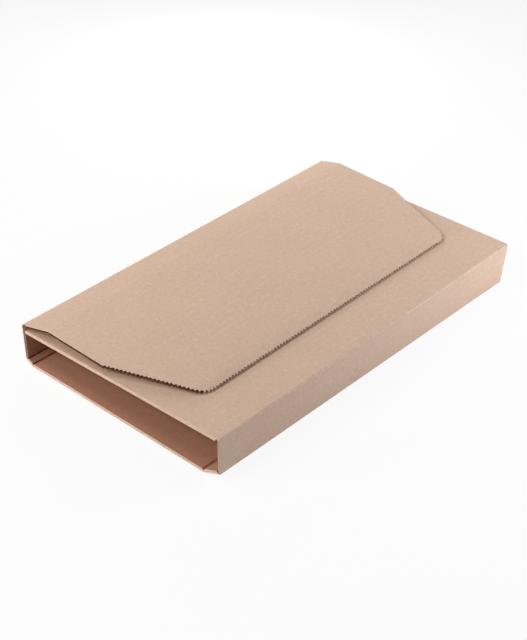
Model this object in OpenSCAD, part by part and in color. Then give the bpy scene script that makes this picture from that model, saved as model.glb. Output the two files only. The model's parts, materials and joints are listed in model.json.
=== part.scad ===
// Wraparound mailer: one sheet of corrugated board, creased and wrapped round
// a flat load as an open-ended sleeve, with a closing flap over the top.
// Millimetres. +Z is up and +Y runs along the open sleeve. The origin is the
// middle of the mailer's footprint, on the surface it rests on.

/* [Sleeve] */
// Length of the sleeve, from one open end to the other
sleeve_length = 340; // [220:1:440]
// Width across the sleeve, over its two side walls
sleeve_width = 194; // [150:1:280]
// Height of the sleeve, from its underside to the top of the inner panel
sleeve_height = 35.5; // [24:0.5:60]
// Gap between the inner panel's free edge and the hinged side wall
panel_gap = 0.8; // [0.5:0.1:6]

/* [Bottom corners] */
// Width of the creased strip under the hinged wall, seen from above
hinge_strip_run = 10; // [6:0.5:16]
// Height of the creased strip under the hinged wall
hinge_strip_rise = 4.2; // [2:0.1:7]
// Width of the creased strip under the far wall, seen from above
wall_strip_run = 13; // [8:0.5:26]
// Height of the creased strip under the far wall
wall_strip_rise = 3.2; // [2:0.1:9]

/* [Board] */
// Thickness of the corrugated board
board_t = 2.6; // [2.2:0.1:3.2]
// Thickness of each of the two liners
liner_t = 0.35; // [0.25:0.05:0.5]
// Thickness of the fluted paper between the liners
fluting_t = 0.3; // [0.2:0.05:0.4]
// Distance from one flute to the next
flute_pitch = 6.2; // [5:0.1:8]
// Width of the glue line where the fluting meets a liner
glue_w = 0.9; // [0.5:0.1:1.5]

/* [Creases] */
// Thickness that the crushed board keeps at a crease
crease_t = 1; // [0.6:0.1:1.6]
// Width of the pressed groove inside a crease
crease_w = 2.4; // [1:0.1:4]
// Radius of the outer liner round a crease
crease_r = 1.2; // [0.4:0.1:2]

/* [Closing flap] */
// Height of the flap's fold over the inner panel, less one board
fold_lift = 0.4; // [0.2:0.1:3]
// Distance from the fold to the flap's second crease
ridge_run = 24; // [14:0.5:34]
// Gap under the flap's second crease
ridge_lift = 6.4; // [3:0.1:10]
// Distance from the fold to the flap's leading edge
flap_reach = 154; // [110:1:175]
// Gap under the flap's leading edge
edge_lift = 1.5; // [1:0.1:4]
// Distance from the fold to where the flap's ends begin to angle in
square_run = 80; // [50:1:100]
// How far each end of the flap has come in at its leading edge
end_taper = 29; // [10:1:45]
// Radius of the flap's two leading corners
corner_r = 13; // [6:0.5:20]
// Gap left at the hinged fold, between the wall and the flap
hinge_gap = 0.4; // [0.2:0.1:0.6]

/* [Zipped edge] */
// Distance from tooth to tooth along the flap's zig-zag cut edge
tooth_pitch = 3.2; // [2.4:0.1:5]
// Depth of the teeth
tooth_depth = 0.8; // [0.4:0.1:1.2]

/* [Seal and tear tape] */
// Width of the adhesive strip under the flap
adhesive_w = 10; // [6:0.5:14]
// Thickness of the adhesive strip
adhesive_t = 0.15; // [0.1:0.05:0.3]
// How far the release liner laps over each side of the adhesive
liner_lap = 2; // [1:0.5:4]
// Thickness of the release liner
release_t = 0.15; // [0.1:0.05:0.25]
// Distance from the release liner to the flap's leading edge
seal_inset = 5; // [3:0.5:12]
// Distance from the release liner's ends to the flap's angled ends
seal_end_gap = 8; // [5:0.5:20]
// Distance from the fold to the middle of the tear tape
tear_run = 95; // [60:1:110]
// Width of the tear tape
tear_w = 4; // [3:0.5:8]
// Thickness of the tear tape
tear_t = 0.2; // [0.1:0.05:0.3]
// Distance from the tear tape's ends to the flap's ends
tear_end_gap = 1.5; // [1:0.5:5]

/* [Hidden] */

kraft = "#ccab90";
kraft_flap = "#d3b7a0";
glue = "#e6dcc0";
release_paper = "#f1ede2";
tape_film = "#ddd3bd";

half_length = sleeve_length / 2;
half_width = sleeve_width / 2;

// Degrees of turn for each step of a rounded outer corner
arc_step = 18;
// Points along the curved side of a flute's opening
flute_steps = 6;
// Points for each tooth of the zig-zag edge: its root and its tip
tooth_points = 2;

// The outer face of the wrapped sheet, in the XZ plane, from the inner
// panel's free edge, round the sleeve, to the fold, and on along the flap.
panel_edge = [board_t + panel_gap - half_width, sleeve_height];
fold = [-half_width, sleeve_height + board_t + fold_lift];
ridge = [ridge_run - half_width, sleeve_height + ridge_lift + board_t];
leading_edge = [flap_reach - half_width, sleeve_height + edge_lift + board_t];
sleeve_face = [
    panel_edge,
    [half_width, sleeve_height],
    [half_width, wall_strip_rise],
    [half_width - wall_strip_run, 0],
    [hinge_strip_run - half_width, 0],
    [-half_width, hinge_strip_rise],
    fold
];
flap_face = [fold, ridge, leading_edge];

function unit(v) = v / norm(v);

// Direction of a face's stretch i, and the way into the board from there
function along(face, i) = unit(face[i + 1] - face[i]);
function inward(face, i) = let (d = along(face, i)) [d.y, -d.x];

// Angle between two directions
function turn(a, b) = acos(min(1, a * b));

// Where two stretches with inward normals a and b meet, at a depth below p
function mitre(p, a, b, depth) = p + depth * (a + b) / (1 + a * b);

// How far from a crease of a given turn the board has its full thickness again
function crease_reach(angle) = board_t * tan(angle / 2) + crease_w / 2;

// The outer liner round a crease at p, from direction a to direction b
function outer_bend(p, a, b) =
    let (
        angle = turn(a, b),
        steps = max(1, round(angle / arc_step)),
        start = p - a * crease_r * tan(angle / 2),
        centre = start + crease_r * [a.y, -a.x]
    )
    [for (k = [0:steps]) centre + crease_r * spun([-a.y, a.x], -angle * k / steps)];

// A direction turned by an angle
function spun(v, angle) = [
    v.x * cos(angle) - v.y * sin(angle),
    v.x * sin(angle) + v.y * cos(angle)
];

// The pressed groove inside a crease, in the order of the inner face
function inner_groove(p, a, b) =
    let (
        na = [a.y, -a.x],
        nb = [b.y, -b.x],
        reach = crease_reach(turn(a, b))
    )
    [p - a * reach + na * board_t, mitre(p, na, nb, crease_t), p + b * reach + nb * board_t];

function reversed(list) = [for (i = [len(list) - 1:-1:0]) list[i]];

wall_way = along(sleeve_face, len(sleeve_face) - 2);
strip_way = along(flap_face, 0);
panel_way = along(flap_face, 1);
hinge_groove = inner_groove(fold, wall_way, strip_way);

// Outer and inner points of a face's creases, in order
function outer_points(face) = [
    for (i = [1:len(face) - 2])
        each outer_bend(face[i], along(face, i - 1), along(face, i))
];
function inner_points(face) = [
    for (i = [1:len(face) - 2])
        each inner_groove(face[i], along(face, i - 1), along(face, i))
];

// Section of the sleeve's board: square at the inner panel's free edge and
// crushed at the hinged fold
sleeve_outline = concat(
    [panel_edge],
    outer_points(sleeve_face),
    [fold - wall_way * hinge_gap / 2],
    reversed(concat(
        [panel_edge + inward(sleeve_face, 0) * board_t],
        inner_points(sleeve_face),
        [hinge_groove[0], hinge_groove[1] - wall_way * hinge_gap / 2]
    ))
);

// Section of the flap's board: crushed at the fold, square past the teeth
tooth_end = leading_edge + panel_way * tooth_depth;
flap_outline = concat(
    [fold + strip_way * hinge_gap / 2],
    outer_points(flap_face),
    [tooth_end],
    reversed(concat(
        [hinge_groove[1] + strip_way * hinge_gap / 2, hinge_groove[2]],
        inner_points(flap_face),
        [tooth_end + inward(flap_face, 1) * board_t]
    ))
);

// Height of the fluting's middle over mid-board, at a distance from a crest
wave = board_t / 2 - liner_t - fluting_t / 2;
function fluting(x) = wave * cos(360 * x / flute_pitch);

// One opening between the fluting and a liner, as distance along the board
// and height over mid-board, with the crest of the fluting as its roof
opening_half = (flute_pitch - glue_w) / 2;
liner_face = board_t / 2 - liner_t;
opening_profile = concat(
    [[-opening_half, -liner_face]],
    [
        for (k = [0:flute_steps])
            let (x = opening_half * (2 * k / flute_steps - 1))
            [x, fluting(x) - fluting_t / 2]
    ],
    [[opening_half, -liner_face]]
);

// The opening at a place on the board's outer face. side is 1 where it lies
// on the inner liner and -1 where it lies on the outer liner.
function flute_opening(place, way, normal, side) = [
    for (p = opening_profile)
        place + way * p.x + normal * (board_t / 2 - side * p.y)
];

// Openings of one stretch of board, between its two creases or ends
module stretch_flutes(face, i, start_reach, end_reach) {
    way = along(face, i);
    normal = inward(face, i);
    first = start_reach + opening_half;
    room = norm(face[i + 1] - face[i]) - start_reach - end_reach - 2 * opening_half;
    halves = max(0, floor(2 * room / flute_pitch));
    shift = (room - halves * flute_pitch / 2) / 2;
    if (room >= 0)
        for (k = [0:1:halves])
            polygon(flute_opening(
                face[i] + way * (first + shift + k * flute_pitch / 2),
                way,
                normal,
                k % 2 == 0 ? 1 : -1
            ));
}

// Openings of a whole face; end_reach is the solid board at its last point
module face_flutes(face, start_reach, end_reach) {
    last = len(face) - 2;
    for (i = [0:last])
        stretch_flutes(
            face,
            i,
            i == 0 ? start_reach : crease_reach(turn(along(face, i - 1), along(face, i))),
            i == last ? end_reach : crease_reach(turn(along(face, i), along(face, i + 1)))
        );
}

// A section of the mailer in the XZ plane, run along Y
module run_along_sleeve(length) {
    rotate([90, 0, 0])
        linear_extrude(length, center = true, convexity = 10)
            children();
}

// Solid board between a cut edge and the first flute
edge_solid = 1.2;
hinge_reach = crease_reach(turn(wall_way, strip_way));

module folded_sleeve() {
    color(kraft)
        run_along_sleeve(sleeve_length)
            difference() {
                polygon(sleeve_outline);
                face_flutes(sleeve_face, edge_solid, hinge_reach);
            }
}

// Half the flap's length at a distance from its fold, corners left square
function flap_half_length(run) =
    half_length - end_taper * max(0, run - square_run) / (flap_reach - square_run);

// The flap's angled end and leading corner, in plan, for the end at +Y
end_start = [square_run, half_length];
corner = [flap_reach, half_length - end_taper];
end_way = unit(corner - end_start);
corner_turn = turn(end_way, [0, -1]);
corner_cut = corner_r * tan(corner_turn / 2);
end_length = norm(corner - end_start) - corner_cut;
corner_length = corner_r * corner_turn * PI / 180;
edge_half = corner.y - corner_cut;
corner_centre = end_start + end_way * end_length + corner_r * [end_way.y, -end_way.x];

// Place and outward direction at a distance along the toothed edge, from the
// start of the angled end at +Y to the middle of the leading edge
function edge_place(s) =
    s < end_length
        ? [end_start + end_way * s, [-end_way.y, end_way.x]]
    : s < end_length + corner_length
        ? let (out = spun([-end_way.y, end_way.x], -(s - end_length) / corner_r * 180 / PI))
            [corner_centre + corner_r * out, out]
    : [[flap_reach, edge_half - (s - end_length - corner_length)], [1, 0]];

// Toothed edge of the half of the flap at +Y, with whole teeth
edge_length = end_length + corner_length + edge_half;
half_teeth = round(edge_length / tooth_pitch);
toothed_half = [
    for (k = [0:tooth_points * half_teeth])
        let (
            place = edge_place(edge_length * k / (tooth_points * half_teeth)),
            tip = k % tooth_points == 0 ? 0 : tooth_depth
        )
        place[0] + tip * place[1]
];
mirrored_half = [for (k = [len(toothed_half) - 2:-1:0]) [toothed_half[k].x, -toothed_half[k].y]];

// Plan of the flap, measured from its fold
flap_plan = concat(
    [[0, half_length]],
    toothed_half,
    mirrored_half,
    [[0, -half_length]]
);

module closing_flap() {
    color(kraft_flap)
        intersection() {
            run_along_sleeve(sleeve_length)
                difference() {
                    polygon(flap_outline);
                    face_flutes(flap_face, hinge_reach, edge_solid + tooth_depth);
                }
            translate([-half_width, 0, 0])
                linear_extrude(ridge.y + board_t)
                    polygon(flap_plan);
        }
}

// A strip under the flap's panel, in its section: from and to are distances
// from the leading edge, and depth is measured below the board's inner face
module under_flap(from, to, depth, thickness) {
    normal = inward(flap_face, 1);
    top = leading_edge + normal * (board_t + depth);
    polygon([
        top - panel_way * to,
        top - panel_way * from,
        top - panel_way * from + normal * thickness,
        top - panel_way * to + normal * thickness
    ]);
}

liner_w = adhesive_w + 2 * liner_lap;
seal_length = 2 * (flap_half_length(flap_reach - seal_inset) - seal_end_gap);

module adhesive_strip() {
    near_side = seal_inset + liner_lap;
    color(glue)
        run_along_sleeve(seal_length - 2 * liner_lap)
            under_flap(near_side, near_side + adhesive_w, 0, adhesive_t);
}

module release_liner() {
    color(release_paper)
        run_along_sleeve(seal_length)
            under_flap(seal_inset, seal_inset + liner_w, adhesive_t, release_t);
}

module tear_tape() {
    to_edge = (flap_reach - tear_run) / panel_way.x;
    color(tape_film)
        run_along_sleeve(2 * (flap_half_length(tear_run + tear_w) - tear_end_gap))
            under_flap(to_edge - tear_w / 2, to_edge + tear_w / 2, 0, tear_t);
}

folded_sleeve();
closing_flap();
adhesive_strip();
release_liner();
tear_tape();
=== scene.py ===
"""The looks of a wraparound mailer of brown kraft corrugated board, in metres.

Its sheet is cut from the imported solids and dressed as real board: liners, fluting, cut edges and a
pressed crease. It is then settled, crease by crease, into the slightly skewed lie of an empty
mailer that was wrapped by hand.
"""

import json
import math

import bmesh
import bpy
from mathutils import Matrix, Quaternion, Vector


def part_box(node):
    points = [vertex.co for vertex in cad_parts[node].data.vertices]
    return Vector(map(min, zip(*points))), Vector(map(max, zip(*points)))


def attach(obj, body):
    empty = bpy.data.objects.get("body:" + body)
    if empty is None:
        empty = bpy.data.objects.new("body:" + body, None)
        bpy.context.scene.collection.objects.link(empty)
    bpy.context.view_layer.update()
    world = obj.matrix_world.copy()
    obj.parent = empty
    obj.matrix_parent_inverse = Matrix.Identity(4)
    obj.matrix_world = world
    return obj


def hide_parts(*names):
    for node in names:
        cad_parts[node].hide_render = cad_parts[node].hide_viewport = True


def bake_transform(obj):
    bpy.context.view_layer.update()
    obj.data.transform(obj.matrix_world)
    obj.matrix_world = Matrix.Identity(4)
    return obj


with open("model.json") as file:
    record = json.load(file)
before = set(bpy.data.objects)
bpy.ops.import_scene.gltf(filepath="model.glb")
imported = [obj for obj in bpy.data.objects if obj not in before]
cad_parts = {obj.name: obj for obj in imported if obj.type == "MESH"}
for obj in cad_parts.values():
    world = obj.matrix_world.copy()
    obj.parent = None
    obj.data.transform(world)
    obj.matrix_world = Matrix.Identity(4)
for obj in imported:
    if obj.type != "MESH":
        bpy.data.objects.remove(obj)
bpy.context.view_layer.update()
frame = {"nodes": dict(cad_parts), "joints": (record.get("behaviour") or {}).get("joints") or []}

MM = 0.001

# Sizes of the board
BOARD_T = 2.6 * MM
LINER_T = 0.35 * MM
FLUTING_T = 0.3 * MM
FLUTE_PITCH = 6.2 * MM

# Sizes of its creases
CREASE_T = 1.0 * MM
CREASE_W = 2.4 * MM
CREASE_R = 1.2 * MM

# Sizes of the mailer that its box doesn't give
PANEL_TOP = 35.5 * MM
PANEL_GAP = 0.8 * MM
HINGE_STRIP_RUN, HINGE_STRIP_RISE = 10 * MM, 4.2 * MM
WALL_STRIP_RUN, WALL_STRIP_RISE = 13 * MM, 3.2 * MM
RIDGE_RUN = 24 * MM
EDGE_LIFT = 1.5 * MM
TOOTH_DEPTH = 0.8 * MM
SQUARE_RUN = 80 * MM
END_TAPER = 29 * MM
CORNER_R = 13 * MM

SLEEVE_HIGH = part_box("folded_sleeve")[1]
FLAP_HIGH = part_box("closing_flap")[1]
HINGE = Vector(frame["joints"][0]["pos_m"])
HALF_LENGTH = SLEEVE_HIGH.y
HALF_WIDTH = SLEEVE_HIGH.x
LEADING_X = FLAP_HIGH.x - TOOTH_DEPTH

# Distance between cuts across the sheet, which let it twist a little
CUT_SPACING = 20 * MM

# Distances below which vertices are one, and below which places touch
WELD = 0.002 * MM
TOUCH = 0.01 * MM

# Angles below which neighbouring faces are one flat face, and below which they are one rounded face
FLAT_ANGLE = math.radians(0.2)
ROUND_ANGLE = math.radians(25)

# How much of a face's normal points one way, from 0 to 1: at least a little, by half, and mostly
A_LITTLE = 0.2
BY_HALF = 0.5
MOSTLY = 0.8


def linear(code):
    """An sRGB hex colour as the linear values that a shader takes."""
    channels = [int(code[i:i + 2], 16) / 255 for i in (1, 3, 5)]
    return [c / 12.92 if c <= 0.04045 else ((c + 0.055) / 1.055) ** 2.4 for c in channels] + [1.0]


# The sheet's section

class Crease:
    """A crease or an edge of the sheet: its place in the XZ plane, and how far it has settled
    away from there at the near and at the far end of the mailer, in millimetres."""

    def __init__(self, x, z, near, far):
        self.place = Vector((x, z))
        self.near = Vector(near) * MM
        self.far = Vector(far) * MM

    def shift(self, y):
        """How far the crease has settled at a place along the mailer."""
        return self.near.lerp(self.far, (y + HALF_LENGTH) / (2 * HALF_LENGTH))


class Stretch:
    """The flat board from one crease to the next, by its outer face."""

    def __init__(self, start, end, run_before):
        self.start = start
        self.end = end
        self.way = (end.place - start.place).normalized()
        self.inward = Vector((self.way.y, -self.way.x))
        self.length = (end.place - start.place).length
        self.run_before = run_before

    def measure(self, point):
        """Distance along the stretch and depth into the board, of a point in space."""
        offset = Vector((point.x, point.z)) - self.start.place
        return offset.dot(self.way), offset.dot(self.inward)

    def miss(self, point):
        """How far a point lies outside this stretch of board."""
        run, depth = self.measure(point)
        return max(0, -run, run - self.length) + max(0, -depth, depth - BOARD_T)

    def shift(self, point):
        """How far the board has settled at a point."""
        share = min(1, max(0, self.measure(point)[0] / self.length))
        return self.start.shift(point.y).lerp(self.end.shift(point.y), share)

    def place(self, run, depth, y):
        """The point in space at a distance along the stretch and a depth into the board."""
        spot = self.start.place + self.way * run + self.inward * depth
        return Vector((spot.x, y, spot.y))


def stretches(creases, run=0.0):
    """The stretches of a run of creases, each with its distance along the whole sheet."""
    result = []
    for start, end in zip(creases, creases[1:]):
        result.append(Stretch(start, end, run))
        run += result[-1].length
    return result


PANEL_EDGE = Crease(BOARD_T + PANEL_GAP - HALF_WIDTH, PANEL_TOP, (-1.2, -3.2), (0, 0.4))
WALL_TOP = Crease(HALF_WIDTH, PANEL_TOP, (0.3, 0.6), (1.1, 1.8))
WALL_FOOT = Crease(HALF_WIDTH, WALL_STRIP_RISE, (2.4, 4.2), (-1.4, -3.2))
FLOOR_RIGHT = Crease(HALF_WIDTH - WALL_STRIP_RUN, 0, (-0.6, 0.8), (2.4, 0))
FLOOR_LEFT = Crease(HINGE_STRIP_RUN - HALF_WIDTH, 0, (-2.2, 2.6), (0, 0))
HINGE_WALL_FOOT = Crease(-HALF_WIDTH, HINGE_STRIP_RISE, (1.2, 1.8), (0.4, 0.4))
FOLD = Crease(HINGE.x, HINGE.z, (-1.0, -2.2), (0.9, 0.9))
RIDGE = Crease(HINGE.x + RIDGE_RUN, FLAP_HIGH.z, (3.8, -0.3), (-2.8, 0.1))
LEADING_EDGE = Crease(LEADING_X, PANEL_TOP + EDGE_LIFT + BOARD_T, (0.2, -0.5), (0, 0.6))

SLEEVE_STRETCHES = stretches(
    [PANEL_EDGE, WALL_TOP, WALL_FOOT, FLOOR_RIGHT, FLOOR_LEFT, HINGE_WALL_FOOT, FOLD]
)
TOP_PANEL, SIDE_WALL = SLEEVE_STRETCHES[:2]
HINGE_WALL = SLEEVE_STRETCHES[-1]
SHEET_TO_FOLD = HINGE_WALL.run_before + HINGE_WALL.length
FLAP_STRETCHES = stretches([FOLD, RIDGE, LEADING_EDGE], SHEET_TO_FOLD)
FLAP_STRIP, FLAP_PANEL = FLAP_STRETCHES
HINGE_STRETCHES = [HINGE_WALL, FLAP_STRIP]

# Distance from the fold at which the board is whole again, less a hair, so that no cut falls on the
# edge of the crease
CUT_ALLOWANCE = 0.03 * MM
HINGE_ANGLE = HINGE_WALL.way.angle(FLAP_STRIP.way)
HINGE_REACH = BOARD_T * math.tan(HINGE_ANGLE / 2) + CREASE_W / 2 - CUT_ALLOWANCE


def nearest(parts, point):
    """The stretch of board that a point lies in, or else the one nearest to it."""
    return min(parts, key=lambda part: part.miss(point))


def middle_of(points):
    """The mean of several points."""
    return sum(points, Vector()) / len(points)


# Editing

def only(piece):
    """Makes a piece the one selected and active object."""
    bpy.ops.object.select_all(action="DESELECT")
    piece.select_set(True)
    bpy.context.view_layer.objects.active = piece


def edit(piece):
    """Enters edit mode on one piece, with all of it selected."""
    only(piece)
    bpy.ops.object.mode_set(mode="EDIT")
    bpy.ops.mesh.select_mode(type="FACE")
    bpy.ops.mesh.select_all(action="SELECT")


def pick_faces(piece, wanted):
    """In edit mode, selects the faces for which wanted(face) is true."""
    bpy.ops.mesh.select_mode(type="FACE")
    bpy.ops.mesh.select_all(action="DESELECT")
    mesh = bmesh.from_edit_mesh(piece.data)
    for face in mesh.faces:
        face.select_set(bool(wanted(face)))
    bmesh.update_edit_mesh(piece.data)


def cut(plane_co, plane_no, **clear):
    """In edit mode, cuts the selected faces by a plane in space, and closes what it clears."""
    bpy.ops.mesh.bisect(plane_co=plane_co, plane_no=plane_no, use_fill=bool(clear), **clear)


def cut_all(plane_co, plane_no, **clear):
    """In edit mode, cuts the whole piece in the same way."""
    bpy.ops.mesh.select_all(action="SELECT")
    cut(plane_co, plane_no, **clear)


def cut_across(extra=()):
    """In edit mode, cuts the whole piece across its length at a regular spacing."""
    count = round(2 * HALF_LENGTH / CUT_SPACING)
    places = [-HALF_LENGTH + 2 * HALF_LENGTH * k / count for k in range(1, count)]
    for y in places + list(extra):
        cut_all((0, y, 0), (0, 1, 0))


def board_copy(node, name):
    """A new piece with the shape of a CAD node, its triangles welded into whole faces, in edit mode."""
    piece = bpy.data.objects.new(name, frame["nodes"][node].data.copy())
    piece.data.name = name
    piece.data.materials.clear()
    bpy.context.scene.collection.objects.link(piece)
    only(piece)
    bpy.ops.mesh.customdata_custom_splitnormals_clear()
    edit(piece)
    bpy.ops.mesh.remove_doubles(threshold=WELD)
    return piece


def modify(piece, kind, **settings):
    """Adds a modifier to a piece, with its settings, and applies it."""
    only(piece)
    modifier = piece.modifiers.new(kind.title(), kind)
    for key, value in settings.items():
        setattr(modifier, key, value)
    bpy.ops.object.modifier_apply(modifier=modifier.name)


def lay_sheet_map(piece, parts):
    """Gives a piece a map that follows the unfolded sheet: metres along it, and metres across."""
    flat = piece.data.uv_layers.new(name="sheet")
    for loop in piece.data.loops:
        point = piece.data.vertices[loop.vertex_index].co
        part = nearest(parts, point)
        flat.data[loop.index].uv = (part.run_before + part.measure(point)[0], point.y)


def settle(piece, parts):
    """Moves a finished board from its square shape in the CAD to the lie it has in the photo."""
    shifts = [nearest(parts, vertex.co).shift(vertex.co) for vertex in piece.data.vertices]
    for vertex, shift in zip(piece.data.vertices, shifts):
        vertex.co.x += shift.x
        vertex.co.z += shift.y


# Materials

def add_node(tree, kind, settings=None, **links):
    """Adds a node. settings holds its options and unlinked inputs, and links the sockets that feed its
    inputs, by the input's name with _ for a space, or by i and its number."""
    node = tree.nodes.new(kind)
    for key, value in (settings or {}).items():
        if isinstance(key, str) and hasattr(node, key):
            setattr(node, key, value)
        else:
            node.inputs[key].default_value = value
    for key, socket in links.items():
        place = int(key[1:]) if key[0] == "i" and key[1:].isdigit() else key.replace("_", " ")
        tree.links.new(socket, node.inputs[place])
    return node


def new_material(name):
    """A new material with an empty node tree."""
    material = bpy.data.materials.new(name)
    material.use_nodes = True
    material.node_tree.nodes.clear()
    return material, material.node_tree


def tone_range(tree, value, spread):
    """Turns noise, which lies mostly between 0.3 and 0.7, into a factor for a colour, from 1 - spread
    to 1 + spread."""
    settings = {"From Min": 0.3, "From Max": 0.7, "To Min": 1 - spread, "To Max": 1 + spread}
    return add_node(tree, "ShaderNodeMapRange", settings, Value=value).outputs[0]


def product(tree, values):
    """Multiplies several values."""
    result = values[0]
    for value in values[1:]:
        result = add_node(tree, "ShaderNodeMath", {"operation": "MULTIPLY"}, i0=result, i1=value).outputs[0]
    return result


def paint_crease_wear_and_highlights(tree, colour, pale, sheet, patches, wear_and_highlight_at):
    """Paints the creases paler, in patches about 1 mm wide with soft sides: partly fibres worn pale, partly
    a painted highlight where the creases catch the light.
    """
    along = add_node(tree, "ShaderNodeSeparateXYZ", {}, Vector=sheet).outputs["X"]
    patchy = add_node(tree, "ShaderNodeMapRange", {"From Min": 0.35, "From Max": 0.6}, Value=patches)
    for place, wear_and_highlight in wear_and_highlight_at:
        away = add_node(tree, "ShaderNodeMath", {"operation": "SUBTRACT", 1: place}, i0=along)
        away = add_node(tree, "ShaderNodeMath", {"operation": "ABSOLUTE"}, i0=away.outputs[0])
        near = add_node(
            tree, "ShaderNodeMapRange",
            {"From Min": 0.2 * MM, "From Max": 0.9 * MM, "To Min": wear_and_highlight, "To Max": 0.0},
            Value=away.outputs[0],
        )
        colour = add_node(
            tree, "ShaderNodeMix", {"data_type": "RGBA", 7: linear(pale)},
            Factor=product(tree, [near.outputs[0], patchy.outputs[0]]), i6=colour,
        ).outputs[2]
    return colour


def kraft(name, base, pale, wear_and_highlight_at=()):
    """Uncoated kraft liner: brown wood fibres pressed into a matt sheet, clouded by the pulp's uneven
    formation, with pale fibre bundles, and paler along the creases, from wear and a painted highlight.
    wear_and_highlight_at holds their distances along the sheet, each with how much paler it is."""
    material, tree = new_material(name)
    sheet = add_node(tree, "ShaderNodeUVMap", {"uv_map": "sheet"}).outputs["UV"]

    # Formation of the pulp: broad clouds 45 mm across, and mottle 5 mm across
    clouds = add_node(tree, "ShaderNodeTexNoise", {"Scale": 1 / (45 * MM), "Detail": 2.0}, Vector=sheet)
    mottle = add_node(
        tree, "ShaderNodeTexNoise", {"Scale": 1 / (5 * MM), "Detail": 3.0, "Roughness": 0.6}, Vector=sheet
    )
    # Fibres are 0.03 mm wide and too fine to show, so bundles of them are drawn 0.9 mm wide, and
    # a little longer across the flutes, the way the paper machine laid them
    laid = add_node(tree, "ShaderNodeMapping", {"Scale": (0.7, 1.0, 1.0)}, Vector=sheet).outputs[0]
    fibres = add_node(
        tree, "ShaderNodeTexNoise", {"Scale": 1 / (0.9 * MM), "Detail": 3.0, "Roughness": 0.7}, Vector=laid
    )
    # Pale bundles that the pulping left whole, about 2 mm
    bundles = add_node(
        tree, "ShaderNodeTexNoise", {"Scale": 1 / (2.2 * MM), "Detail": 2.0, "Roughness": 0.4}, Vector=laid
    )
    # The flutes show through the liner as faint bands
    bands = add_node(
        tree, "ShaderNodeTexWave",
        {"wave_type": "BANDS", "bands_direction": "X", "Scale": math.pi / 10 / FLUTE_PITCH,
         "Distortion": 1.2, "Detail": 1.0, "Detail Scale": 0.6},
        Vector=sheet,
    )
    tone = product(tree, [
        tone_range(tree, clouds.outputs["Fac"], 0.015),
        tone_range(tree, mottle.outputs["Fac"], 0.035),
        tone_range(tree, bundles.outputs["Fac"], 0.025),
        tone_range(tree, fibres.outputs["Fac"], 0.085),
        add_node(
            tree, "ShaderNodeMapRange", {"To Min": 0.992, "To Max": 1.008}, Value=bands.outputs["Fac"]
        ).outputs[0],
    ])
    plain = add_node(
        tree, "ShaderNodeMix",
        {"data_type": "RGBA", "blend_type": "MULTIPLY", "Factor": 1.0, 6: linear(base)},
        i7=tone,
    )
    # The whole bundles take up to half of the pale colour
    share = add_node(
        tree, "ShaderNodeMapRange", {"From Min": 0.60, "From Max": 0.72, "To Max": 0.5},
        Value=bundles.outputs["Fac"],
    )
    colour = add_node(
        tree, "ShaderNodeMix", {"data_type": "RGBA", 7: linear(pale)},
        Factor=share.outputs[0], i6=plain.outputs[2],
    ).outputs[2]

    colour = paint_crease_wear_and_highlights(tree, colour, pale, sheet, mottle.outputs["Fac"], wear_and_highlight_at)

    relief = add_node(
        tree, "ShaderNodeBump", {"Strength": 0.35, "Distance": 0.06 * MM}, Height=fibres.outputs["Fac"]
    )
    relief = add_node(
        tree, "ShaderNodeBump", {"Strength": 0.5, "Distance": 0.05 * MM},
        Height=bands.outputs["Fac"], Normal=relief.outputs[0],
    )
    shader = add_node(
        tree, "ShaderNodeBsdfPrincipled",
        {"Roughness": 0.85, "Specular IOR Level": 0.3, "Sheen Weight": 0.04, "Sheen Roughness": 0.5},
        Base_Color=colour, Normal=relief.outputs[0],
    )
    add_node(tree, "ShaderNodeOutputMaterial", Surface=shader.outputs[0])
    return material


def torn_paper(name, base, pale):
    """Cut or unfaced paper: matt, with fibre ends standing up as a fine grain."""
    material, tree = new_material(name)
    coords = add_node(tree, "ShaderNodeTexCoord").outputs["Object"]
    # Fibre ends drawn 0.6 mm across, coarser than they are, so that they show, and patches of 4 mm
    ends = add_node(
        tree, "ShaderNodeTexNoise", {"Scale": 1 / (0.6 * MM), "Detail": 2.0, "Roughness": 0.6}, Vector=coords
    )
    patches = add_node(tree, "ShaderNodeTexNoise", {"Scale": 1 / (4 * MM), "Detail": 2.0}, Vector=coords)
    # Where both are strong, the paper takes up to 0.9 of the pale colour
    grain = product(tree, [
        tone_range(tree, ends.outputs["Fac"], 0.5),
        tone_range(tree, patches.outputs["Fac"], 0.5),
    ])
    share = add_node(tree, "ShaderNodeMath", {"operation": "MULTIPLY", 1: 0.4}, i0=grain)
    colour = add_node(
        tree, "ShaderNodeMix", {"data_type": "RGBA", 6: linear(base), 7: linear(pale)},
        Factor=share.outputs[0],
    )
    relief = add_node(
        tree, "ShaderNodeBump", {"Strength": 0.6, "Distance": 0.1 * MM}, Height=ends.outputs["Fac"]
    )
    shader = add_node(
        tree, "ShaderNodeBsdfPrincipled", {"Roughness": 0.95, "Specular IOR Level": 0.15},
        Base_Color=colour.outputs[2], Normal=relief.outputs[0],
    )
    add_node(tree, "ShaderNodeOutputMaterial", Surface=shader.outputs[0])
    return material


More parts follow.
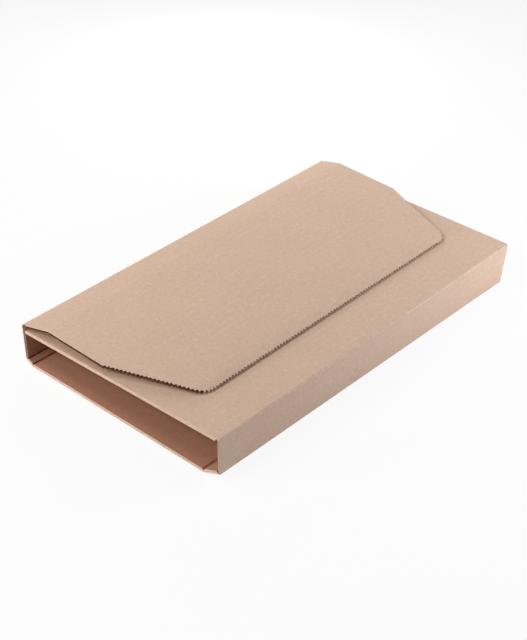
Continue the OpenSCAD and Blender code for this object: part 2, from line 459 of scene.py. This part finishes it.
def smooth_film(name, base, roughness):
    """A thin coated paper or film: nearly even in colour, and smooth enough to shine softly."""
    material, tree = new_material(name)
    coords = add_node(tree, "ShaderNodeTexCoord").outputs["Object"]
    # It lies on the liner with faint ripples, 12 mm across
    ripple = add_node(tree, "ShaderNodeTexNoise", {"Scale": 1 / (12 * MM), "Detail": 2.0}, Vector=coords)
    tint = add_node(
        tree, "ShaderNodeMix",
        {"data_type": "RGBA", "blend_type": "MULTIPLY", "Factor": 1.0, 6: linear(base)},
        i7=tone_range(tree, ripple.outputs["Fac"], 0.03),
    )
    relief = add_node(
        tree, "ShaderNodeBump", {"Strength": 0.3, "Distance": 0.1 * MM}, Height=ripple.outputs["Fac"]
    )
    shader = add_node(
        tree, "ShaderNodeBsdfPrincipled", {"Roughness": roughness, "Specular IOR Level": 0.5},
        Base_Color=tint.outputs[2], Normal=relief.outputs[0],
    )
    add_node(tree, "ShaderNodeOutputMaterial", Surface=shader.outputs[0])
    return material


# The crease at the top of the side wall, the flap's ridge, and the line over the tear tape, paler from wear
# and a painted highlight
RIDGE_TO_TAPE_LINE = 71 * MM
CREASE_WEAR_AND_HIGHLIGHTS = (
    (TOP_PANEL.length, 0.55),
    (FLAP_PANEL.run_before, 0.25),
    (FLAP_PANEL.run_before + RIDGE_TO_TAPE_LINE, 0.18),
)
# Unbleached kraft liner, pressed and dried flat: matt light brown, paler at the creases from wear and a
# painted highlight
KRAFT_LINER = kraft("kraft_liner", "#d5b59c", "#e1c8b3", CREASE_WEAR_AND_HIGHLIGHTS)
# The liner inside: the same kraft, painted darker and redder as painted shade for the inside of the mailer,
# with no paler creases
SHADED_INNER_LINER = kraft("kraft_inner_liner_painted_shade", "#b28167", "#c0917a")
# Liner cut clean by the die: paler than its face, because the cut lays the fibres bare
CUT_LINER = torn_paper("cut_liner_edge", "#d2ad97", "#e5cabb")
# Semichemical fluting paper: the darkest, since it lies in the shade of the liners
FLUTING_PAPER = torn_paper("fluting_paper", "#6b4634", "#8a6450")
# Both liners crushed together by the die: greyer and darker than a clean cut, partly from the crushing and
# partly painted shade on the side wall's cut ends
CRUSHED_AND_SHADED_EDGE = torn_paper("crushed_liner_edge_painted_shade", "#a58a7a", "#b99f90")
# A cut across open flutes, painted as a dark brown between the liners and the fluting: painted shade on the
# hinged wall's cut ends
SHADED_OPEN_EDGE = torn_paper("open_fluted_edge_painted_shade", "#806454", "#957a6a")
BOARD_FINISHES = (KRAFT_LINER, SHADED_INNER_LINER, CUT_LINER, FLUTING_PAPER, CRUSHED_AND_SHADED_EDGE, SHADED_OPEN_EDGE)

# More than the rounding of a crease takes off the board
ROUNDING_DEPTH = 0.5 * MM


def is_outside(face, points, parts):
    """True for a face of the outer liner, also where it is rounded at a crease."""
    centre = middle_of(points)
    for part in parts:
        facing_out = -face.normal.x * part.inward.x - face.normal.z * part.inward.y
        shallow = min(part.measure(point)[1] for point in points) < ROUNDING_DEPTH
        if facing_out > BY_HALF and shallow and part.miss(centre) < TOUCH:
            return True
    return False


def sleeve_finish(face, points, parts):
    """Which finish a face of the sleeve has. A cut end is light where the blade left the liners
    clean, darker at the side wall, where it crushed them and painted shade is added, and darkest at
    the hinged wall, painted dark brown as open flutes in shade."""
    if is_outside(face, points, parts):
        return KRAFT_LINER
    part = nearest(parts, middle_of(points))
    depths = [part.measure(point)[1] for point in points]
    if abs(face.normal.y) > BY_HALF:
        return {SIDE_WALL: CRUSHED_AND_SHADED_EDGE, HINGE_WALL: SHADED_OPEN_EDGE}.get(part, CUT_LINER)
    facing_in = face.normal.x * part.inward.x + face.normal.z * part.inward.y
    if max(depths) > BOARD_T - LINER_T / 2 and facing_in > A_LITTLE:
        return SHADED_INNER_LINER
    if min(depths) > LINER_T / 2 and max(depths) < BOARD_T - LINER_T / 2:
        return FLUTING_PAPER
    return CUT_LINER


def crease_finish(face, points, parts):
    """Which finish a face of the hinged crease has: its crushed ends and sides take the dark fluting paper,
    as painted shade.
    """
    if is_outside(face, points, parts):
        return KRAFT_LINER
    inside = HINGE_WALL.inward + FLAP_STRIP.inward
    facing_in = face.normal.x * inside.x + face.normal.z * inside.y
    return SHADED_INNER_LINER if facing_in > A_LITTLE and abs(face.normal.y) < BY_HALF else FLUTING_PAPER


def dress(piece, parts, finish):
    """Gives a board its sheet map and its finishes."""
    lay_sheet_map(piece, parts)
    for material in BOARD_FINISHES:
        piece.data.materials.append(material)
    for face in piece.data.polygons:
        points = [piece.data.vertices[i].co for i in face.vertices]
        face.material_index = BOARD_FINISHES.index(finish(face, points, parts))


def hand_over(piece, slot, body, *nodes):
    """Shades a piece smoothly over its rounded creases, and gives it the body that it rides, and the
    nodes that it replaces. Its slot is not used."""
    only(piece)
    bpy.ops.object.shade_smooth_by_angle(angle=ROUND_ANGLE)
    if body:
        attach(piece, body)
    if nodes:
        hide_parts(*nodes)


# The folded sleeve: the solid board, with its flutes pressed nearly shut at the cut ends

# Distance from a cut end over which the board is pressed
PRESSED_LENGTH = 8 * MM
# Shares of its height that a flute keeps, and of its thickness that the board keeps at the top of the
# side wall and by the crease there
PRESSED_FLUTE = 0.08
PRESSED_WALL = 0.6
PRESSED_NOTCH = 0.4
# How far the notch by that crease runs along the board, and how much of that is its slope
END_NOTCH_RUN = 3.6 * MM
END_NOTCH_SLOPE = 0.6 * MM
# Vertices deeper than this below either face belong to the flutes
FLUTES_FROM = 0.9 * LINER_T


def press_ends(piece):
    """Closes the sleeve's flutes at the ends that the blade cut, and presses the side wall thinner
    towards those ends: more so towards its top, and most by the crease there."""
    middle = BOARD_T / 2
    for vertex in piece.data.vertices:
        to_end = HALF_LENGTH - abs(vertex.co.y)
        if to_end > PRESSED_LENGTH:
            continue
        part = nearest(SLEEVE_STRETCHES, vertex.co)
        run, depth = part.measure(vertex.co)
        pressed = depth
        if to_end < TOUCH and FLUTES_FROM < depth < BOARD_T - FLUTES_FROM:
            pressed = middle + (depth - middle) * PRESSED_FLUTE
        to_crease = {TOP_PANEL: TOP_PANEL.length - run, SIDE_WALL: run}.get(part, math.inf)
        thin = 1
        if to_crease < END_NOTCH_RUN:
            thin = PRESSED_NOTCH
        elif part is SIDE_WALL:
            thin = 1 - (1 - PRESSED_WALL) * (1 - run / SIDE_WALL.length)
        pressed *= 1 - (1 - thin) * (1 - to_end / PRESSED_LENGTH)
        vertex.co.x += part.inward.x * (pressed - depth)
        vertex.co.z += part.inward.y * (pressed - depth)


def make_sleeve():
    """The sleeve's board, up to the crease piece at the hinge."""
    piece = board_copy("folded_sleeve", "sleeve_board")
    # Only the hinged wall is cut off at its top, and not the panel, which starts beside it
    behind_panel = (HINGE_WALL.place(0, BOARD_T, 0).x + PANEL_EDGE.place.x) / 2
    pick_faces(piece, lambda face: max(vertex.co.x for vertex in face.verts) < behind_panel)
    start_of_hinge = HINGE_WALL.place(HINGE_WALL.length - HINGE_REACH, 0, 0)
    cut(start_of_hinge, (0, 0, 1), clear_outer=True)
    bpy.ops.object.mode_set(mode="OBJECT")
    dress(piece, SLEEVE_STRETCHES, sleeve_finish)
    edit(piece)
    bpy.ops.mesh.dissolve_limited(angle_limit=FLAT_ANGLE, delimit={"MATERIAL"})
    # Cuts for the notch in the ends by the crease at the top of the wall
    for inset in (CREASE_W / 2, END_NOTCH_RUN - END_NOTCH_SLOPE):
        cut_all((HALF_WIDTH - inset, 0, 0), (1, 0, 0))
    cut_across([side * (HALF_LENGTH - PRESSED_LENGTH) for side in (-1, 1)])
    bpy.ops.object.mode_set(mode="OBJECT")
    press_ends(piece)
    settle(piece, SLEEVE_STRETCHES)
    hand_over(piece, "kraft_board", "sleeve", "folded_sleeve")


# The closing flap: two toothed liners with the fluting between them, set back from the cut

# How far the fluting stays behind the cut edge
FLUTING_SETBACK = 1.9 * MM
# Share of its thickness that the fluting leaves free, so that it doesn't touch the liners
FLUTING_SLACK = 0.02
# Faces along each wave of the fluting
FLUTE_STEPS = 12
# Depth of the notches between the teeth in the photo, where the solid has TOOTH_DEPTH
NOTCH_DEPTH = 1.5 * MM
# How far the blade drew the outer liner's cut edge down over the flutes, at the straight ends
BURR = 0.4 * MM
# How far it pressed that liner down at the leading edge, and over what distance
PRESSED_EDGE = 1.4 * MM
PRESSED_EDGE_RUN = 9 * MM
# Least share of a normal along Z for a liner's face in the solid, and for a face on a finished liner
SKIN_LEVEL = 0.4
LINER_LEVEL = 0.3

# The flap's outline in plan, on the side of positive Y: an angled end, a rounded corner and the
# leading edge, all measured at the feet of the teeth
CORNER = Vector((LEADING_X, HALF_LENGTH - END_TAPER))
TAPER_START = Vector((SQUARE_RUN - HALF_WIDTH, HALF_LENGTH))
TAPER_WAY = (CORNER - TAPER_START).normalized()
TAPER_OUT = Vector((-TAPER_WAY.y, TAPER_WAY.x))
FORWARD = Vector((1, 0))
CORNER_OUT = (TAPER_OUT + FORWARD).normalized()
CORNER_SPAN = math.cos(TAPER_OUT.angle(FORWARD) / 2)
CORNER_CENTRE = CORNER - CORNER_OUT * CORNER_R / CORNER_SPAN


def beyond_outline(point):
    """How far a point lies beyond the feet of the teeth, and the way out from there, in plan."""
    side = 1 if point.y > 0 else -1
    spot = Vector((point.x, abs(point.y)))
    to_spot = spot - CORNER_CENTRE
    past_taper = (spot - CORNER).dot(TAPER_OUT)
    past_edge = spot.x - LEADING_X
    in_corner = to_spot.dot(TAPER_WAY) > 0 and to_spot.y > 0
    if in_corner:
        far, out = to_spot.length - CORNER_R, to_spot.normalized()
    elif past_taper > past_edge:
        far, out = past_taper, TAPER_OUT
    else:
        far, out = past_edge, FORWARD
    return far, Vector((out.x, out.y * side, 0))


def deepen_teeth(piece):
    """Draws the notches between the teeth as deep as the photo shows them."""
    slack = 5 * TOUCH
    for vertex in piece.data.vertices:
        far, out = beyond_outline(vertex.co)
        if vertex.co.x > TAPER_START.x + 2 * slack and -slack < far < TOOTH_DEPTH + slack:
            short = TOOTH_DEPTH - far
            vertex.co -= out * short * (NOTCH_DEPTH / TOOTH_DEPTH - 1)


def is_skin(face):
    """True for a face of the flap's outer or inner liner, of its crease's groove, or of its leading
    edge, where the blade ran along the flutes and folded the liners together."""
    if face.normal.x > MOSTLY:
        return True
    if abs(face.normal.z) < SKIN_LEVEL:
        return False
    depths = [nearest(FLAP_STRETCHES, vertex.co).measure(vertex.co)[1] for vertex in face.verts]
    on_face = LINER_T / 10
    on_outside = max(depths) < on_face
    on_inside = max(depths) > BOARD_T - on_face and min(depths) > BOARD_T / 3
    return on_outside or on_inside


def pressed_edge(x):
    """How far the blade pressed the outer liner down, at a place up to the leading edge."""
    share = max(0, x - LEADING_X + PRESSED_EDGE_RUN) / PRESSED_EDGE_RUN
    return PRESSED_EDGE * min(1, share) ** 2


def make_liners():
    """Both liners of the flap, from the skin of its solid."""
    piece = board_copy("closing_flap", "flap_board")
    start_of_flap = FLAP_STRIP.place(HINGE_REACH, 0, 0)
    cut(start_of_flap, (FLAP_STRIP.way.x, 0, FLAP_STRIP.way.y), clear_inner=True)
    pick_faces(piece, lambda face: not is_skin(face))
    bpy.ops.mesh.delete(type="FACE")
    bpy.ops.mesh.select_all(action="SELECT")
    bpy.ops.mesh.dissolve_limited(angle_limit=FLAT_ANGLE)
    for share in (1, 2 / 3, 1 / 3):
        cut_all((LEADING_X - PRESSED_EDGE_RUN * share, 0, 0), (1, 0, 0))
    cut_across()
    bpy.ops.object.mode_set(mode="OBJECT")
    deepen_teeth(piece)
    modify(piece, "SOLIDIFY", thickness=LINER_T, offset=-1, use_even_offset=True)
    return piece


def make_fluting(name, part, first_run, last_run):
    """The fluted paper of one stretch of the flap, trimmed a little inside the cut edge."""
    length = last_run - first_run
    steps = round(length / FLUTE_PITCH * FLUTE_STEPS)
    rows = round(2 * HALF_LENGTH / CUT_SPACING)
    bpy.ops.object.select_all(action="DESELECT")
    bpy.ops.mesh.primitive_grid_add(x_subdivisions=steps, y_subdivisions=rows, size=1)
    piece = bpy.context.object
    piece.name = name
    wave = BOARD_T / 2 - LINER_T - FLUTING_T / 2
    for vertex in piece.data.vertices:
        run = first_run + length * (vertex.co.x + 0.5)
        squeeze = pressed_edge(part.place(run, 0, 0).x) / 2
        depth = BOARD_T / 2 + squeeze - (wave - squeeze) * math.cos(2 * math.pi * run / FLUTE_PITCH)
        vertex.co = part.place(run, depth, 2 * (HALF_LENGTH - FLUTING_SETBACK) * vertex.co.y)
    modify(piece, "SOLIDIFY", thickness=FLUTING_T * (1 - FLUTING_SLACK), offset=0)

    # The two angled ends and the two rounded corners of the flap
    corner_end = CORNER_CENTRE + CORNER_OUT * CORNER_R
    edit(piece)
    for place, facing in ((CORNER, TAPER_OUT), (corner_end, CORNER_OUT)):
        place = place - facing * FLUTING_SETBACK
        for side in (-1, 1):
            cut_all((place.x, place.y * side, 0), (facing.x, facing.y * side, 0), clear_outer=True)
    bpy.ops.object.mode_set(mode="OBJECT")
    return piece


def flap_finish(face, points, parts):
    """Which finish a face of a liner of the flap has. At the ends the outer liner shows a light cut
    edge, over the dark ends of the open flutes and the shaded edge of the inner liner. Along the
    leading edge, where the blade folded it over, it keeps the colour of its face."""
    part = nearest(parts, middle_of(points))
    depths = [part.measure(point)[1] for point in points]
    if max(depths) < LINER_T / 2:
        return KRAFT_LINER
    if abs(face.normal.z) < LINER_LEVEL:
        if beyond_outline(middle_of(points))[1].x > MOSTLY:
            return KRAFT_LINER
        return CUT_LINER if max(depths) < BOARD_T / 2 else FLUTING_PAPER
    return SHADED_INNER_LINER if max(depths) > BOARD_T - LINER_T / 2 else FLUTING_PAPER


def press_liner(piece):
    """Presses the outer liner down over the flutes towards the leading edge, as the blade did, and
    draws its cut edge down at the straight ends."""
    for vertex in piece.data.vertices:
        depth = nearest(FLAP_STRETCHES, vertex.co).measure(vertex.co)[1]
        if depth > BOARD_T / 2:
            continue
        if abs(vertex.co.y) > HALF_LENGTH - TOUCH and depth > LINER_T / 2:
            vertex.co.z -= BURR
        vertex.co.z -= pressed_edge(vertex.co.x)


def make_flap():
    """The flap's board: its liners with the fluting of both of its stretches."""
    liners = make_liners()
    ridge_reach = BOARD_T * math.tan(FLAP_STRIP.way.angle(FLAP_PANEL.way) / 2) + CREASE_W / 2
    last_run = FLAP_PANEL.length - FLUTING_SETBACK
    fluting = [
        make_fluting("strip_fluting", FLAP_STRIP, HINGE_REACH, FLAP_STRIP.length - ridge_reach),
        make_fluting("panel_fluting", FLAP_PANEL, ridge_reach, last_run),
    ]
    dress(liners, FLAP_STRETCHES, flap_finish)
    press_liner(liners)
    for piece in fluting:
        dress(piece, FLAP_STRETCHES, lambda face, points, parts: FLUTING_PAPER)
    only(liners)
    for piece in fluting:
        piece.select_set(True)
    bpy.ops.object.join()
    settle(liners, FLAP_STRETCHES)
    hand_over(liners, "kraft_flap_board", "flap", "closing_flap")


# The hinged crease, between the wall and the flap

# Faces round the outside of the fold
CREASE_STEPS = 6
# How far inside the fold the bend is centred
BEND_DEPTH = 1.5 * MM


def make_hinge_crease():
    """The crushed board round the fold, rounded outside and grooved inside."""
    side = CREASE_R * math.tan(HINGE_ANGLE / 2)
    centre = HINGE_WALL.place(HINGE_WALL.length - side, CREASE_R, -HALF_LENGTH)
    outline = [HINGE_WALL.place(HINGE_WALL.length - HINGE_REACH, 0, -HALF_LENGTH)]
    for k in range(CREASE_STEPS + 1):
        angle = HINGE_ANGLE * k / CREASE_STEPS
        outline.append(centre + CREASE_R * Vector((-math.cos(angle), 0, math.sin(angle))))
    outline.append(FLAP_STRIP.place(HINGE_REACH, 0, -HALF_LENGTH))
    outline.append(FLAP_STRIP.place(HINGE_REACH, BOARD_T, -HALF_LENGTH))
    inside = (HINGE_WALL.inward + FLAP_STRIP.inward).normalized()
    groove = FOLD.place + inside * CREASE_T / math.cos(HINGE_ANGLE / 2)
    outline.append(Vector((groove.x, -HALF_LENGTH, groove.y)))
    outline.append(HINGE_WALL.place(HINGE_WALL.length - HINGE_REACH, BOARD_T, -HALF_LENGTH))

    bpy.ops.object.select_all(action="DESELECT")
    bpy.ops.mesh.primitive_circle_add(vertices=len(outline), fill_type="NGON")
    piece = bpy.context.object
    piece.name = "fold_crease"
    for vertex, point in zip(piece.data.vertices, outline):
        vertex.co = point
    edit(piece)
    bpy.ops.mesh.extrude_region_move(TRANSFORM_OT_translate={"value": (0, 2 * HALF_LENGTH, 0)})
    bpy.ops.mesh.select_all(action="SELECT")
    bpy.ops.mesh.normals_make_consistent(inside=False)
    cut_across()
    bpy.ops.object.mode_set(mode="OBJECT")
    dress(piece, HINGE_STRETCHES, crease_finish)
    settle(piece, HINGE_STRETCHES)
    hand_over(piece, "kraft_board", None)

    # The plane that halves the fold, leant over to follow the fold as it has settled; nothing here bends the
    # crease about it
    across = Vector((inside.y, -inside.x))
    if across.y < 0:
        across.negate()
    near, far = FOLD.near.dot(across), FOLD.far.dot(across)
    middle = FOLD.place + inside * BEND_DEPTH + across * (near + far) / 2
    middle = Vector((middle.x, 0, middle.y))
    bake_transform(piece)


# The seal and the tear tape, under the flap

def make_strip(node, name, slot, material):
    """A thin strip in the place of a CAD node under the flap, which settles with the flap."""
    piece = board_copy(node, name)
    bpy.ops.mesh.dissolve_limited(angle_limit=FLAT_ANGLE)
    cut_across()
    bpy.ops.object.mode_set(mode="OBJECT")
    piece.data.materials.append(material)
    settle(piece, FLAP_STRETCHES)
    hand_over(piece, slot, "flap", node)


# Hot-melt glue, laid on from a slot nozzle: a cream film with a soft gloss
HOT_MELT_GLUE = smooth_film("hot_melt_glue", "#e6dcc0", 0.35)
# Calendered paper with a silicone coat: nearly white, and satin
SILICONE_PAPER = smooth_film("silicone_paper", "#f1ede2", 0.4)
# Stretched plastic film: a little yellow, and the glossiest of the three
TAPE_FILM = smooth_film("tape_film", "#ddd3bd", 0.25)

make_sleeve()
make_flap()
make_hinge_crease()
make_strip("adhesive_strip", "glue_strip", "hot_melt_adhesive", HOT_MELT_GLUE)
make_strip("release_liner", "release_paper", "silicone_paper", SILICONE_PAPER)
make_strip("tear_tape", "tear_tape_film", "tear_tape_film", TAPE_FILM)


# Floor, light and camera

# Metres along each side, far past what the camera sees
FLOOR_SIZE = 12
# Share of plain white in what the camera sees of the floor, with the lit floor as the rest
FLOOR_WHITE = 0.9
WORLD_STRENGTH = 0.06
# The point that most lamps aim at, in the middle of the mailer
MAILER_MIDDLE = (0, 0, 0.02)
WHITE_LIGHT = "#ffffff"
COOL_LIGHT = "#eef4ff"


def area_lamp(name, place, aim, size, watts, colour):
    """A round softbox. Its place, aim and size are in metres, and its power is in watts."""
    data = bpy.data.lights.new(name, "AREA")
    data.shape = "DISK"
    data.size = size
    data.energy = watts
    data.color = linear(colour)[:3]
    lamp = bpy.data.objects.new(name, data)
    lamp.location = place
    lamp.rotation_euler = (Vector(aim) - Vector(place)).to_track_quat("-Z", "Y").to_euler()
    bpy.context.scene.collection.objects.link(lamp)


def pale_floor():
    """A matt white floor, which the camera sees as nearly pure white with a faint shadow, because
    what it sees is mixed with plain white."""
    material, tree = new_material("pale_floor")
    surface = add_node(tree, "ShaderNodeBsdfDiffuse", {"Color": linear("#f2f2f2")})
    white = add_node(tree, "ShaderNodeEmission", {"Color": (1, 1, 1, 1), "Strength": 1.0})
    path = add_node(tree, "ShaderNodeLightPath")
    share = add_node(
        tree, "ShaderNodeMath", {"operation": "MULTIPLY", 1: FLOOR_WHITE}, i0=path.outputs["Is Camera Ray"]
    )
    mixed = add_node(
        tree, "ShaderNodeMixShader", {}, Fac=share.outputs[0], i1=surface.outputs[0], i2=white.outputs[0]
    )
    add_node(tree, "ShaderNodeOutputMaterial", Surface=mixed.outputs[0])
    bpy.ops.object.select_all(action="DESELECT")
    bpy.ops.mesh.primitive_plane_add(size=FLOOR_SIZE, location=(0, 0, 0))
    floor = bpy.context.object
    floor.name = "floor"
    floor.data.materials.append(material)


def studio_world(strength):
    """A faint even light from all around."""
    world = bpy.data.worlds.new("studio")
    bpy.context.scene.world = world
    world.use_nodes = True
    world.node_tree.nodes["Background"].inputs["Color"].default_value = (1, 1, 1, 1)
    world.node_tree.nodes["Background"].inputs["Strength"].default_value = strength


pale_floor()
studio_world(WORLD_STRENGTH)
# Placed and powered to match the light on the mailer in the photo
area_lamp("front_softbox", (-0.2, -1.1, 0.9), MAILER_MIDDLE, 0.6, 9.2, WHITE_LIGHT)
area_lamp("low_front_softbox", (-0.75, -1.1, 0.2), (0, -0.1, 0.02), 0.3, 5.2, WHITE_LIGHT)
area_lamp("right_softbox", (1.2, 0.2, 0.35), MAILER_MIDDLE, 0.6, 2.0, COOL_LIGHT)
area_lamp("far_softbox", (0.4, 0.4, 0.25), MAILER_MIDDLE, 0.2, 2.2, COOL_LIGHT)
area_lamp("back_softbox", (-0.4, 0.4, 0.225), MAILER_MIDDLE, 0.2, 1.6, WHITE_LIGHT)
area_lamp("left_softbox", (-0.273, -0.273, 0.48), MAILER_MIDDLE, 0.2, 0.8, WHITE_LIGHT)

# The camera stands where the photo was taken from, solved from the corners of the mailer. Its angles
# are in degrees and its lens is in millimetres on the default sensor.
CAMERA_PLACE = Vector((626.2, -753.0, 672.8)) * MM
CAMERA_TURN = 40.263
CAMERA_DOWN = 34.428
CAMERA_ROLL = 1.85
CAMERA_LENS = 85.9
CAMERA_CLIP = 50 * MM


def photo_camera():
    """The camera at the place and angle of the photo."""
    camera = bpy.data.objects.new("camera", bpy.data.cameras.new("camera"))
    camera.data.lens = CAMERA_LENS
    camera.data.clip_start = CAMERA_CLIP
    turn, down = math.radians(CAMERA_TURN), math.radians(CAMERA_DOWN)
    sight = Vector((-math.sin(turn) * math.cos(down), math.cos(turn) * math.cos(down), -math.sin(down)))
    level = sight.to_track_quat("-Z", "Y")
    camera.rotation_mode = "QUATERNION"
    camera.rotation_quaternion = level @ Quaternion((0, 0, 1), math.radians(CAMERA_ROLL))
    camera.location = CAMERA_PLACE
    bpy.context.scene.collection.objects.link(camera)
    bpy.context.scene.camera = camera


photo_camera()
bpy.context.scene.view_settings.view_transform = "Standard"
